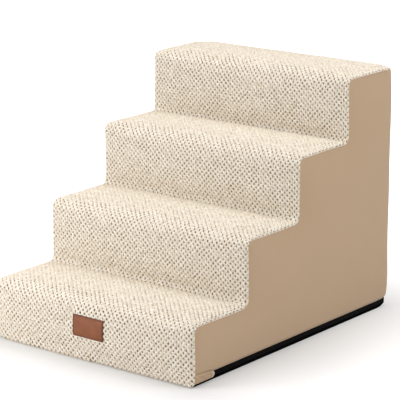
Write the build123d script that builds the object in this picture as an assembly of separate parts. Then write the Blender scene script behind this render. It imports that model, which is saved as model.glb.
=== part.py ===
from build123d import *
import os

# Foam pet stairs with a zipped, removable cover. Millimetres. +X runs across the stair to its right side,
# +Y from the front riser to the back, +Z up. The origin is on the floor under the middle of the stair.

# Whole stair
width = 488.0
step_count = 4
first_rise = 122.0
rise = 126.0
tread = 163.0
top_tread = 167.0
corner_radius = 16.0

# Knitted step cover, one strip over every riser and tread
knit_thickness = 4.0
knit_nose_radius = 14.0
knit_hollow_radius = 9.0
knit_edge_radius = 6.0
knit_side_wrap = 9.0
knit_hem_lift = 1.0
tread_crown = 3.0
riser_crown = 3.0
crown_end_gap = 12.0
crown_end_blend = 60.0

# Plain fabric panels on both sides and the back
panel_thickness = 3.0
panel_foot_height = 17.0
panel_hem_height = 6.0

# Non-slip base, turned up into a low lip along the zip
base_thickness = 2.5
base_lip_height = 4.5
base_lip_thickness = 2.2

# Zip: two tapes, each with its row of coil teeth
zip_middle_height = 10.5
zip_front_inset = 1.5
zip_tooth_start = 16.0
tape_thickness = 0.7
tooth_row_width = 2.6
tooth_row_height = 2.2
tooth_row_gap = 1.2
stop_length = 3.0

# Slider
slider_length = 11.0
slider_shoulder = 2.4
slider_plate = 1.0
slider_wall = 1.2
slider_tail_taper = 0.5
slider_round = 0.8
slider_play = 0.35
slider_foam_gap = 0.5
slider_post_length = 3.0
slider_post_play = 0.2
slider_parking_gap = 1.8
bridge_length = 7.2
bridge_width = 2.0
bridge_bar = 0.9
bridge_round = 1.2

# Pull
pull_length = 24.0
pull_thickness = 1.2
pull_play = 0.2
pull_arm_width = 1.1
pull_arm_play = 0.5
pull_window_length = 4.8
pull_pivot_offset = 1.6
pull_tail_width = 6.4
pull_tail_round = 3.0
pull_head_round = 0.5
pull_eye_radius = 1.1
pull_eye_inset = 3.4

# Fabric garages over both ends of the zip
garage_length = 57.0
garage_bulge = 5.0
garage_thickness = 1.0
garage_foot_height = 3.6
garage_mouth_height = 20.0
garage_front_height = 25.0
garage_hem_width = 2.6
garage_inner_gap = 0.4

# Leather label and its stitches
label_width = 76.0
label_height = 42.0
label_thickness = 1.6
label_middle_height = 70.5
label_round = 2.0
stitch_inset = 3.0
stitch_pitch = 4.0
stitch_length = 3.0
stitch_width = 0.8
stitch_proud = 0.4

# Spare length that lets a cutting block run past what it cuts
overrun = 20.0

# Places that follow from the sizes
depth = tread * (step_count - 1) + top_tread
height = first_rise + rise * (step_count - 1)
front_reach = riser_crown + label_thickness + stitch_proud
front = -(depth - front_reach) / 2
back = front + depth
core_side = width / 2 - knit_thickness

# Depth of each zip layer, measured outwards from the side of the foam
bridge_top = panel_thickness - garage_inner_gap
window_top = bridge_top - bridge_bar
pull_middle = window_top - pull_play - pull_thickness / 2
slider_face = pull_middle - pull_thickness / 2 - pull_play
slider_roof = slider_face - slider_plate
tooth_face = slider_roof - slider_play
tape_face = tooth_face - tooth_row_height
tape_back = tape_face - tape_thickness
slider_floor = tape_back - slider_play
slider_back = slider_floor - slider_plate
rebate_face = slider_back - slider_foam_gap
lip_face = tape_face + base_lip_thickness

# Slider and pull at rest, just outside the mouth of the left garage
garage_mouth = front + knit_side_wrap + garage_length
slider_half_width = tooth_row_gap / 2 + tooth_row_width + slider_play + slider_wall
slider_middle = garage_mouth + slider_parking_gap + slider_length / 2
pull_pivot = slider_middle + pull_pivot_offset
closed_end = slider_middle - slider_length / 2 - slider_play
open_end = front + zip_tooth_start


def step_corners(inset, low, rear):
    """Corners of the stair seen from the side, drawn in by inset, from the front riser's foot to the rear."""
    corners = [(front + inset, low)]
    for step in range(step_count):
        level = first_rise + rise * step - inset
        corners.append((front + tread * step + inset, level))
        if step < step_count - 1:
            corners.append((front + tread * (step + 1) + inset, level))
    corners.append((rear, height - inset))
    return corners


def rounded(face, corners, radius):
    """The same face with a radius at each of these corners."""
    near = radius / 100
    ends = [v for v in face.vertices() if any((v.center() - Vector(*c)).length < near for c in corners)]
    return face.fillet_2d(radius, ends)


def step_profile(inset, low, rear, nose_radius, hollow_radius):
    """Closed side view of the stair with straight risers and treads."""
    corners = step_corners(inset, low, rear)
    face = make_face(Polyline(*corners, (rear, low), close=True)).face()
    face = rounded(face, corners[1::2][:step_count], nose_radius)
    if hollow_radius > 0:
        face = rounded(face, corners[2:-1:2], hollow_radius)
    return face


def crowned_profile(low):
    """Closed side view of the cover's outside: swelling risers and treads, the top one level at its rear."""
    corners = step_corners(0, low, back)
    level_start = (back - corner_radius - crown_end_gap, height)
    corners.insert(-1, level_start)
    edges = []
    for place in range(len(corners) - 2):
        (y0, z0), (y1, z1) = corners[place], corners[place + 1]
        swell = (-riser_crown, 0) if place % 2 == 0 else (0, tread_crown)
        middle = ((y0 + y1) / 2 + swell[0], (z0 + z1) / 2 + swell[1])
        edges.append(ThreePointArc((y0, z0), middle, (y1, z1)))
    edges.append(Polyline(level_start, (back, height), (back, low), corners[0]))
    face = make_face(edges).face()
    face = rounded(face, corners[1::2][:step_count], knit_nose_radius)
    face = rounded(face, corners[2:-2:2], knit_hollow_radius)
    return rounded(face, [level_start], crown_end_blend)


def across(face, half):
    """Block of a side view, from -half to +half across the stair."""
    return extrude(Plane.YZ.offset(-half) * face, half * 2)


def footprint(outward, low, high, start):
    """Upright block over the stair's plan, outward from the foam's side, with round rear corners."""
    side = core_side + outward
    rear = back - knit_thickness + outward
    radius = corner_radius - knit_thickness + outward
    points = [(-side, start), (side, start), (side, rear), (-side, rear)]
    outline = FilletPolyline(*points, radius=[0, 0, radius, radius], close=True)
    return extrude(Plane.XY.offset(low) * make_face(outline), high - low)


def track(outer, inner, low, high, start):
    """Wall that runs back along the right side, across the back and forward along the left side."""
    return footprint(outer, low, high, start) - footprint(inner, low, high, start - overrun)


def save(shape, name):
    export_step(shape, f"parts/{name}.step")


def foam_slabs():
    """Foam core: four slabs glued flat on each other, the lowest rebated at its foot for the zip."""
    profile = step_profile(
        knit_thickness, base_thickness, back, knit_nose_radius - knit_thickness, 0
    )
    core_front = front + knit_thickness
    core = across(profile, core_side) & footprint(0, base_thickness, height, core_front)
    rebate_top = panel_foot_height + panel_hem_height
    core -= track(overrun, rebate_face, base_thickness, rebate_top, core_front)
    slabs = []
    low = base_thickness
    for step in range(step_count):
        high = first_rise + rise * step - knit_thickness
        slabs.append(core & footprint(overrun, low, high, core_front - overrun))
        low = high
    return core, slabs


def outer_block():
    """Outside of the whole cover, with every edge towards the sides and the back rounded."""
    side = width / 2
    tall = height + tread_crown + overrun
    block = across(crowned_profile(knit_hem_lift), side)
    block &= footprint(knit_thickness, knit_hem_lift, tall, front - overrun)
    near = knit_edge_radius / 100
    rim = []
    for edge in block.edges():
        middle, box = edge @ 0.5, edge.bounding_box()
        on_side = abs(abs(middle.X) - side) < near and box.size.X < near
        on_rear_top = middle.Y > back - corner_radius and middle.Z > height - knit_edge_radius
        on_foot = box.max.Z < knit_hem_lift + near
        upright_corner = box.size.Z > height / 2
        if (on_side or on_rear_top) and not (on_foot or upright_corner):
            rim.append(edge)
    return fillet(rim, knit_edge_radius)


def skirt_profile():
    """Side view of the area below the knit's turned edge, which the plain panels fill."""
    nose = knit_nose_radius - knit_side_wrap
    hollow = knit_hollow_radius + knit_side_wrap
    return step_profile(knit_side_wrap, -overrun, back + overrun, nose, hollow)


def step_cover(block, core, skirt):
    """Knitted strip with its turned edges: the outside less the foam and less the panels' area."""
    core_front = front + knit_thickness
    inside = footprint(0, 0, panel_foot_height + panel_hem_height, core_front)
    outside = footprint(overrun, -overrun, height + overrun, front - overrun)
    around = outside - footprint(0, -overrun, height + overrun, front - overrun)
    return block - core - inside - (around & skirt)


def panels(skirt):
    """Left, right and back panels, with a hem turned in behind the zip. The side panels round the corners."""
    core_front = front + knit_thickness
    wall = track(panel_thickness, 0, panel_foot_height, height, front + knit_side_wrap) & skirt
    hem_top = panel_foot_height + panel_hem_height
    whole = wall + track(0, tape_face, panel_foot_height, hem_top, core_front)
    seam = width / 2 - corner_radius
    middle = Pos(0, back, height / 2) * Box(seam * 2, corner_radius * 2, height)
    back_panel = whole & middle
    sides = whole - middle
    half = Box(
        width, depth * 2, height * 2, align=(Align.MIN, Align.CENTER, Align.CENTER)
    )
    return sides - half, sides & half, back_panel


def base_panel():
    """Non-slip fabric under the foam, with its lip outside the lower tape."""
    core_front = front + knit_thickness
    floor = footprint(lip_face, 0, base_thickness, core_front)
    return floor + track(lip_face, tape_face, base_thickness, base_lip_height, core_front)


def zip_tapes():
    """Lower and upper tape. Each stops at the inner edge of its row of teeth."""
    start = front + knit_thickness + zip_front_inset
    hem_top = panel_foot_height + panel_hem_height
    low_edge = zip_middle_height - tooth_row_gap / 2
    high_edge = zip_middle_height + tooth_row_gap / 2
    lower = track(tape_face, tape_back, base_thickness, low_edge, start)
    upper = track(tape_face, tape_back, high_edge, hem_top, start)
    return lower, upper


def tooth_rows():
    """Lower and upper row of teeth, from the bottom stop on the right round to the top stops on the left."""
    near = tooth_row_gap / 2
    far = near + tooth_row_width
    lower = track(tooth_face, tape_face, zip_middle_height - far, zip_middle_height - near, open_end)
    upper = track(tooth_face, tape_face, zip_middle_height + near, zip_middle_height + far, open_end)
    bare = Pos(0, closed_end, 0) * Box(width, depth, height, align=(Align.MAX, Align.MAX, Align.CENTER))
    return lower - bare, upper - bare


def zip_stops():
    """Two top stops on the left, one on each row, and one bottom stop across both rows on the right."""
    near = tooth_row_gap / 2
    far = near + tooth_row_width
    x = core_side + (tooth_face + tape_face) / 2
    align = (Align.CENTER, Align.MAX, Align.CENTER)
    small = Box(tooth_row_height, stop_length, tooth_row_width, align=align)
    wide = Box(tooth_row_height, stop_length, far * 2, align=align)
    shift = (near + far) / 2
    top_stops = [Pos(-x, closed_end, zip_middle_height + side * shift) * small for side in (-1, 1)]
    return Compound(children=top_stops), Pos(x, open_end, zip_middle_height) * wide


def zip_plane(y):
    """Drawing plane on the left side of the foam: its X runs to the rear, and its Z outwards."""
    return Plane(origin=(-core_side, y, zip_middle_height), x_dir=(0, 1, 0), z_dir=(-1, 0, 0))


def layer(face, low, high):
    """Block of a flat face between two depths."""
    return extrude(Plane.XY.offset(low) * face, high - low)


def zip_slider():
    """Slider: roof and floor plates joined by a post in the gap, with walls beside the teeth and a bridge."""
    half = slider_length / 2
    tail = slider_half_width - slider_tail_taper
    nose = slider_half_width - slider_shoulder / 2
    right_side = [(-half, nose), (-half + slider_shoulder, slider_half_width), (half, tail)]
    left_side = [(x, -y) for x, y in reversed(right_side)]
    outline = FilletPolyline(*right_side, *left_side, radius=slider_round, close=True)
    body = layer(make_face(outline), slider_back, slider_face)
    channel_side = slider_half_width - slider_wall
    wall_foot = tape_face + slider_play
    channel = Rectangle(slider_length + overrun, channel_side * 2)
    slot = Rectangle(slider_length + overrun, slider_half_width * 2 + overrun)
    body -= layer(channel, slider_floor, slider_roof)
    body -= layer(slot, slider_floor, wall_foot)
    post_width = tooth_row_gap - slider_post_play * 2
    post_middle = -half + slider_shoulder
    post = Pos(post_middle, 0) * SlotOverall(slider_post_length, post_width)
    body += layer(post, slider_floor, slider_roof)
    bridge_base = slider_face - slider_plate / 2
    arch = Rectangle(bridge_length, bridge_top - bridge_base, align=(Align.CENTER, Align.MIN))
    arch = fillet(arch.vertices().group_by(Axis.Y)[-1], bridge_round)
    window = Rectangle(
        bridge_length - bridge_bar * 2, window_top - slider_face, align=(Align.CENTER, Align.MIN)
    )
    arch = Pos(0, bridge_base) * arch - Pos(0, slider_face) * window
    bridge = extrude(Plane.XZ.offset(-bridge_width / 2) * arch, bridge_width)
    return zip_plane(slider_middle) * (body + bridge)


def zip_pull():
    """Pull: a flat tab whose round cross bar lies in the slider's bridge."""
    window_half = bridge_width / 2 + pull_arm_play
    head_half = window_half + pull_arm_width
    bar = pull_thickness / 2
    window_end = bar + pull_window_length
    tail_half = pull_tail_width / 2
    upper = [(0, head_half), (window_end, head_half), (window_end + bar, tail_half), (pull_length, tail_half)]
    lower = [(x, -y) for x, y in reversed(upper)]
    rounds = [0, pull_head_round, pull_head_round, pull_tail_round]
    outline = FilletPolyline(*upper, *lower, radius=rounds + rounds[::-1], close=True)
    tab = make_face(outline)
    tab -= Pos(window_end / 2 - bar, 0) * Rectangle(window_end + bar * 2, window_half * 2)
    tab -= Pos(pull_length - pull_eye_inset, 0) * Circle(pull_eye_radius)
    plate = layer(tab, pull_middle - bar, pull_middle + bar)
    bar_solid = Pos(0, 0, pull_middle) * Rot(90, 0, 0) * Cylinder(bar, head_half * 2)
    return zip_plane(pull_pivot) * (plate + bar_solid)


def garage_faces():
    """Side views of a garage and of the hem round its mouth. The mouth bulges to the rear."""
    start = front + knit_side_wrap
    chord = garage_mouth - garage_bulge
    half_mouth = (garage_mouth_height - garage_foot_height) / 2
    middle_height = garage_foot_height + half_mouth
    edges = [
        Line((start, garage_foot_height), (chord, garage_foot_height)),
        ThreePointArc(
            (chord, garage_foot_height), (garage_mouth, middle_height), (chord, garage_mouth_height)
        ),
        Line((chord, garage_mouth_height), (start, garage_front_height)),
        Line((start, garage_front_height), (start, garage_foot_height)),
    ]
    whole = make_face(edges)
    mouth_radius = (half_mouth**2 + garage_bulge**2) / (garage_bulge * 2)
    round_end = Pos(garage_mouth - garage_hem_width - mouth_radius, middle_height) * Circle(mouth_radius)
    straight = Pos(chord - garage_hem_width, 0) * Rectangle(
        garage_length * 2, garage_front_height * 2, align=(Align.MAX, Align.CENTER)
    )
    patch = whole & (straight + round_end)
    return patch, whole - patch


def garages():
    """Garage and its mouth hem, on the right side. The foot of the garage is turned in to the base's lip."""
    outer = core_side + panel_thickness
    patch_face, hem_face = garage_faces()
    patch = extrude(Plane.YZ.offset(outer) * patch_face, garage_thickness)
    hem = extrude(Plane.YZ.offset(outer) * hem_face, garage_thickness)
    foot = Box(
        panel_thickness + garage_thickness - lip_face,
        garage_length - garage_bulge - garage_hem_width,
        garage_thickness,
        align=(Align.MIN, Align.MIN, Align.MIN),
    )
    foot = Pos(core_side + lip_face, front + knit_side_wrap, garage_foot_height) * foot
    return patch + foot, hem


def label(block):
    """Leather label on the front riser, shaped to its crown behind, with a line of stitches near its edge."""
    face_y = front - riser_crown - label_thickness
    outline = RectangleRounded(label_width, label_height, label_round)
    place = Plane(origin=(0, face_y, label_middle_height), x_dir=(1, 0, 0), z_dir=(0, 1, 0))
    patch = extrude(place * outline, riser_crown + label_thickness + knit_thickness / 2) - block
    stitch = SlotOverall(stitch_length, stitch_width)
    run_x = label_width - stitch_inset * 2
    run_z = label_height - stitch_inset * 2
    count_x = int(run_x / stitch_pitch)
    count_z = int(run_z / stitch_pitch)
    stitches = []
    for side in (-1, 1):
        for n in range(count_x):
            shift = (n - (count_x - 1) / 2) * run_x / count_x
            stitches.append(Pos(shift, side * run_z / 2) * stitch)
        for n in range(count_z):
            shift = (n - (count_z - 1) / 2) * run_z / count_z
            stitches.append(Pos(side * run_x / 2, shift) * Rot(0, 0, 90) * stitch)
    seam = [extrude(place * one, -stitch_proud) for one in stitches]
    return patch, Compound(children=seam)


def build():
    os.makedirs("parts", exist_ok=True)
    core, slabs = foam_slabs()
    for number, slab in enumerate(slabs, start=1):
        save(slab, f"foam_slab_{number}")
    block = outer_block()
    skirt = across(skirt_profile(), width / 2 + overrun)
    save(step_cover(block, core, skirt), "step_cover")
    left, right, rear = panels(skirt)
    save(left, "side_panel_left")
    save(right, "side_panel_right")
    save(rear, "back_panel")
    save(base_panel(), "base_panel")
    lower_tape, upper_tape = zip_tapes()
    save(lower_tape, "zip_tape_lower")
    save(upper_tape, "zip_tape_upper")
    lower_teeth, upper_teeth = tooth_rows()
    save(lower_teeth, "zip_teeth_lower")
    save(upper_teeth, "zip_teeth_upper")
    top_stops, bottom_stop = zip_stops()
    save(top_stops, "zip_top_stops")
    save(bottom_stop, "zip_bottom_stop")
    save(zip_slider(), "zip_slider")
    save(zip_pull(), "zip_pull")
    garage, hem = garages()
    save(garage, "zip_garage_right")
    save(hem, "garage_hem_right")
    save(mirror(garage, Plane.YZ), "zip_garage_left")
    save(mirror(hem, Plane.YZ), "garage_hem_left")
    patch, seam = label(block)
    save(patch, "label_patch")
    save(seam, "label_stitches")
    rearward = back - (pull_pivot + pull_length) - knit_thickness
    print("slider middle y", slider_middle, "pull pivot y", pull_pivot)
    print("pull pivot x", -core_side - pull_middle, "z", zip_middle_height)
    print("slide travel", rearward, "top stops at", closed_end)


build()
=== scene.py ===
import math

import bpy
import numpy as np
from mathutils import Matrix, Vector
from mathutils.kdtree import KDTree


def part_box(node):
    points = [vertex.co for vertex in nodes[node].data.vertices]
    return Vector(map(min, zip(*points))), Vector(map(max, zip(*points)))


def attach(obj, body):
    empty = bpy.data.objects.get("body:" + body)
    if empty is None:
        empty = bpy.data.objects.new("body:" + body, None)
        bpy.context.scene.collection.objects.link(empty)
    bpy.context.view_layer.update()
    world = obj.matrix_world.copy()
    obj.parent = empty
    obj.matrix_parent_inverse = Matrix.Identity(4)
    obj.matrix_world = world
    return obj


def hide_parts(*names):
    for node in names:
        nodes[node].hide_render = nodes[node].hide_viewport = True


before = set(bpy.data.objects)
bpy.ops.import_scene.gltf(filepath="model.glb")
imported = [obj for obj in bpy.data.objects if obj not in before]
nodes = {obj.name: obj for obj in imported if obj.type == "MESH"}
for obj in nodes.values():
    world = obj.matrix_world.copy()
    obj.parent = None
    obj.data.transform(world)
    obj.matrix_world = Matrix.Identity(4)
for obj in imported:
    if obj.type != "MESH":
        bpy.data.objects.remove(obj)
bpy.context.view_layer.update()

scene = bpy.context.scene

# ----------------------------------------
# Foam core. Four slabs of open-cell polyurethane foam, cut from a block with a hot wire and glued flat
# on each other. The cover hides them.


def linear(colour):
    """An sRGB hex colour as the linear numbers that a shader takes."""
    parts = [int(colour[place : place + 2], 16) / 255 for place in (1, 3, 5)]
    return [p / 12.92 if p <= 0.04045 else ((p + 0.055) / 1.055) ** 2.4 for p in parts] + [1.0]


def link(material, source, socket):
    """Links an output to a socket. A whole node stands for its first live output."""
    if isinstance(source, bpy.types.Node):
        source = next(output for output in source.outputs if output.enabled)
    material.node_tree.links.new(source, socket)


def add(material, kind, links=(), **settings):
    """Adds one node. Links gives its inputs in order, or by name or number: a value, a hex colour, an output
    or a node. A Mix mixes colours, and a texture reads Object coordinates where no Vector is given."""
    node = material.node_tree.nodes.new("ShaderNode" + kind)
    if kind == "Mix":
        node.data_type = "RGBA"
    for name, value in settings.items():
        setattr(node, name, value)
    links = dict(links if isinstance(links, dict) else enumerate(links))
    if kind in ("TexNoise", "TexVoronoi", "TexWave") and "Vector" not in links:
        links["Vector"] = add(material, "TexCoord").outputs["Object"]
    for name, value in links.items():
        if isinstance(value, (bpy.types.Node, bpy.types.NodeSocket)):
            link(material, value, node.inputs[name])
        else:
            node.inputs[name].default_value = linear(value) if isinstance(value, str) else value
    return node


def finish(name, roughness, **values):
    """A new material, whose even values are set on its shader's own sockets."""
    material = bpy.data.materials.new(name)
    material.use_nodes = True
    inputs = material.node_tree.nodes["Principled BSDF"].inputs
    inputs["Roughness"].default_value = roughness
    for socket, value in values.items():
        inputs[socket.replace("_", " ")].default_value = value
    return material


def paint(material, colour, *reliefs, gloss=None):
    """Links a finish's colour, reliefs and roughness to its shader. A relief is a height's pattern, its
    strength and its real depth in metres, and the next one lies on top of it."""
    inputs = material.node_tree.nodes["Principled BSDF"].inputs
    link(material, colour, inputs["Base Color"])
    for height, strength, depth in reliefs:
        under = {"Normal": inputs["Normal"].links[0].from_node} if inputs["Normal"].links else {}
        bump = add(material, "Bump", {"Height": height, "Strength": strength, "Distance": depth, **under})
        link(material, bump, inputs["Normal"])
    if gloss:
        link(material, gloss, inputs["Roughness"])


def coat(piece, material):
    """Gives a piece one material on all its faces."""
    piece.data.materials.clear()
    piece.data.materials.append(material)


# Polyurethane foam: matte, pale yellow, with open cells of about a millimetre.
foam_finish = finish("cut polyurethane foam", 0.95)
cells = add(foam_finish, "TexVoronoi", {"Scale": 700.0})
shade = add(foam_finish, "TexNoise", {"Scale": 24.0, "Detail": 3.0})
tint = add(foam_finish, "Mix", {0: shade, 6: "#EFE3BC", 7: "#E4D4A4"})
paint(foam_finish, tint, (cells, 0.6, 0.0006))
slabs = [nodes[f"foam_slab_{number}"] for number in (1, 2, 3, 4)]
for slab in slabs:
    coat(slab, foam_finish)

# ----------------------------------------
# Form of the stuffed cover. The sewn cover is a little tight on the foam: its seams and inner corners are
# held, and the fabric between them swells. A cloth simulation of the whole outside gives that swelling,
# and every fabric piece below takes it from here.

boxes = [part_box(slab.name) for slab in slabs]
cover_low, cover_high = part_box("step_cover")
core_half, core_front, core_rear = boxes[0][1].x, boxes[0][0].y, boxes[0][1].y
cover_depth = cover_high.x - core_half
rear_face = core_rear + cover_depth
risers = [low.y - cover_depth for low, high in boxes]
levels = [high.z + cover_depth for low, high in boxes]
nose_radii, hollow_radius = (0.020, 0.018, 0.016, 0.015), 0.009
wrap_width, wrap_at_top = 0.009, 0.0035
seam_drop, seam_drop_run = 0.003, 0.030


def mode(name):
    """Goes to object or edit mode."""
    bpy.ops.object.mode_set(mode=name)


def alone(piece):
    """Selects one object and nothing else."""
    if bpy.context.object and bpy.context.object.mode != "OBJECT":
        mode("OBJECT")
    bpy.ops.object.select_all(action="DESELECT")
    piece.select_set(True)
    bpy.context.view_layer.objects.active = piece


def edit_all(piece):
    """Goes to edit mode with all of one piece selected."""
    alone(piece)
    mode("EDIT")
    bpy.ops.mesh.select_all(action="SELECT")


def primitive(shape, **settings):
    """Adds a primitive with nothing else selected."""
    bpy.ops.object.select_all(action="DESELECT")
    getattr(bpy.ops.mesh, f"primitive_{shape}_add")(**settings)
    return bpy.context.object


def join(pieces):
    """Joins pieces into the last of them and applies its place, turn and scale."""
    alone(pieces[-1])
    for piece in pieces:
        piece.select_set(True)
    bpy.ops.object.join()
    bpy.ops.object.transform_apply(location=True, rotation=True, scale=True)
    return pieces[-1]


def modify(piece, kind, **settings):
    """Gives a piece a modifier and applies it."""
    alone(piece)
    modifier = piece.modifiers.new(kind.lower(), kind)
    for name, value in settings.items():
        setattr(modifier, name, value)
    bpy.ops.object.modifier_apply(modifier=modifier.name)


def points_of(mesh, what="co"):
    """The places of all vertices of a mesh, or their normals, as rows of three."""
    places = np.empty(len(mesh.vertices) * 3)
    mesh.vertices.foreach_get(what, places)
    return places.reshape(-1, 3)


def place_points(mesh, places):
    """Moves all vertices of a mesh to the given places."""
    mesh.vertices.foreach_set("co", np.asarray(places, np.float32).ravel())
    mesh.update()


def rounded_path(corners, radii, spacing):
    """Points, outward normals and crown shares along a line with rounded corners."""
    corners = [np.array(c) for c in corners]
    points, normals, shares = [], [], []
    start = corners[0]
    for number in range(1, len(corners)):
        here = corners[number]
        along = (here - corners[number - 1]) / np.linalg.norm(here - corners[number - 1])
        normal = np.array([-along[1], along[0]])
        turns = number < len(corners) - 1
        radius = radii[number - 1] if turns else 0
        end = here - along * radius
        count = max(2, int(np.linalg.norm(end - start) / spacing))
        for share in np.arange(count) / count:
            points.append(start + (end - start) * share)
            normals.append(normal)
            shares.append(1 - (2 * share - 1) ** 2)
        if turns:
            after = corners[number + 1] - here
            after /= np.linalg.norm(after)
            bend = np.sign(along[0] * after[1] - along[1] * after[0])
            centre = end + bend * normal * radius
            count = max(4, int(radius * math.pi / 2 / spacing))
            for n in range(count):
                angle = bend * (math.pi / 2) * n / count
                cosine, sine = math.cos(angle), math.sin(angle)
                turned = [normal[0] * cosine - normal[1] * sine, normal[0] * sine + normal[1] * cosine]
                turned = np.array(turned)
                points.append(centre - bend * turned * radius)
                normals.append(turned)
                shares.append(0.0)
            start = here + after * radius
    points = np.array(points + [corners[-1]])
    length = np.concatenate([[0], np.cumsum(np.linalg.norm(np.diff(points, axis=0), axis=1))])
    return length, points, np.array(normals + [normal]), np.array(shares + [0.0])


def step_corners(low, rear):
    """The corners of the stair's side view, from the front foot to the rear of its top, and their radii."""
    corners, radii = [(risers[0], low)], []
    for step, (y, z) in enumerate(zip(risers, levels)):
        corners.append((y, z))
        radii.append(nose_radii[step])
        if step < len(risers) - 1:
            corners.append((risers[step + 1], z))
            radii.append(hollow_radius)
    return corners + [(rear, levels[-1])], radii


spare = 0.05
way, outline, seam_normals, _ = rounded_path(*step_corners(-spare, rear_face + spare), 0.0015)
whole_way = way[-1] - 2 * spare


def edge_wrap(way):
    """How far down the side the knit reaches, at a length along the steps from the floor."""
    return wrap_width + (wrap_at_top - wrap_width) * np.clip(way / whole_way, 0, 1)


seam_path = outline - seam_normals * edge_wrap(way - spare)[:, None]
rear_corner = np.clip((seam_path[:, 0] - rear_face + seam_drop_run) / seam_drop_run, 0, 1)
seam_path[:, 1] -= seam_drop * rear_corner**2 * (3 - 2 * rear_corner)


def seam_gap_of(places):
    """Distance of flat side-view places from the knit's seam, less than 0 on its outer side."""
    gaps = np.empty(len(places))
    batch = 3000
    for start in range(0, len(places), batch):
        offsets = places[start : start + batch, None, :] - seam_path[None, :, :]
        square = (offsets**2).sum(axis=2)
        nearest = square.argmin(axis=1)
        rows = np.arange(len(nearest))
        outward = (offsets[rows, nearest] * seam_normals[nearest]).sum(axis=1)
        gaps[start : start + batch] = -np.sign(outward) * np.sqrt(square[rows, nearest])
    return gaps


blocks = []
for (low, high), top in zip(boxes, levels):
    near = Vector((low.x - cover_depth, low.y - cover_depth, cover_low.z))
    far = Vector((high.x + cover_depth, rear_face, top))
    blocks.append(primitive("cube", size=1, location=(near + far) / 2, scale=far - near))
form = join(blocks)
form_cell = 0.008
form.data.remesh_voxel_size = form_cell
bpy.ops.object.voxel_remesh()
modify(form, "SMOOTH", iterations=2)

# The seams, the inner corners and the foot are held.
form_rest = points_of(form.data)
side_view = form_rest[:, 1:]
hollow_gap = np.full(len(form_rest), 1.0)
for step in range(3):
    hollow = np.array([risers[step + 1], levels[step]])
    hollow_gap = np.minimum(hollow_gap, np.linalg.norm(side_view - hollow, axis=1))
back_seam_in, foot_height = 0.012, 0.024
on_side = np.abs(form_rest[:, 0]) > core_half
on_back = form_rest[:, 1] > core_rear
back_seam = on_back & (np.abs(np.abs(form_rest[:, 0]) - (core_half - back_seam_in)) < form_cell)
top_seam = on_back & (form_rest[:, 2] > levels[-1] - wrap_width - form_cell)
held = (on_side & (np.abs(seam_gap_of(side_view)) < form_cell)) | back_seam | top_seam
held |= (hollow_gap < form_cell * 1.4) | (form_rest[:, 2] < foot_height)
pins = form.vertex_groups.new(name="seams")
pins.add(np.nonzero(held)[0].tolist(), 1.0, "REPLACE")

swell_cap, swell_frames = 0.0045, 20
moves = np.zeros_like(form_rest)
cloth = form.modifiers.new("fabric", "CLOTH")
for setting, value in {
    "quality": 4, "mass": 0.3, "tension_stiffness": 30, "compression_stiffness": 30,
    "shear_stiffness": 12, "bending_stiffness": 4, "vertex_group_mass": pins.name,
    "use_pressure": True, "uniform_pressure_force": 4,
}.items():
    setattr(cloth.settings, setting, value)
cloth.settings.effector_weights.gravity = 0
cloth.point_cache.frame_start, cloth.point_cache.frame_end = 1, swell_frames
for number in range(1, swell_frames + 1):
    scene.frame_set(number)
swollen = form.evaluated_get(bpy.context.evaluated_depsgraph_get())
outward = points_of(form.data, "normal")
moves = ((points_of(swollen.data) - form_rest) * outward).sum(axis=1, keepdims=True)
moves = outward * np.maximum(moves, 0)
size = np.linalg.norm(moves, axis=1, keepdims=True)
moves *= swell_cap * np.tanh(size / swell_cap) / np.maximum(size, 1e-9)
scene.frame_set(1)
bpy.data.objects.remove(form)


def tree_of(places):
    """A search tree over rows of three."""
    tree = KDTree(len(places))
    for number, point in enumerate(places):
        tree.insert(point, number)
    tree.balance()
    return tree


def near_value(tree, values, place, count, soften):
    """The value at a place, mixed from those of a tree's nearest points."""
    found = tree.find_n(place, count)
    weights = np.array([1 / (gap + soften) ** 2 for _, _, gap in found])
    return weights @ values[[number for _, number, _ in found]] / weights.sum()


form_tree = tree_of(form_rest)


def swell(places):
    """The simulated move of each point."""
    return np.array([near_value(form_tree, moves, point, 5, 0.002) for point in places])


# ----------------------------------------
# Plain panels. Tan brushed polyester, cut flat: one stair-shaped piece for each side, which goes round the
# rear corner, and an oblong for the back. Each is sewn to the knit above and to the zip's tape below.

corner = 0.012
panel_out, panel_thickness = 0.003, 0.0022
panel_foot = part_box("zip_teeth_upper")[1].z + 0.0027
side_run = core_rear - corner - core_front
turn_run = corner * math.pi / 2
back_run = 2 * (core_half - corner)
whole_run = 2 * side_run + 2 * turn_run + back_run
rear_roll, rear_over = 0.011, 1.5
rear_lift = rear_roll * (rear_over - 1) + 0.002
rear_lead = 0.022
foot_lift, foot_lift_run, foot_lift_height = 0.0035, 0.015, 0.035


def rear_share(run):
    """0 on the straight sides and 1 on the back, with a soft step over the rear corners."""
    way = np.minimum(run, whole_run - run)
    share = np.clip((way - side_run + rear_lead) / (turn_run * 0.6 + rear_lead), 0, 1)
    return share**2 * (3 - 2 * share)


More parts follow.
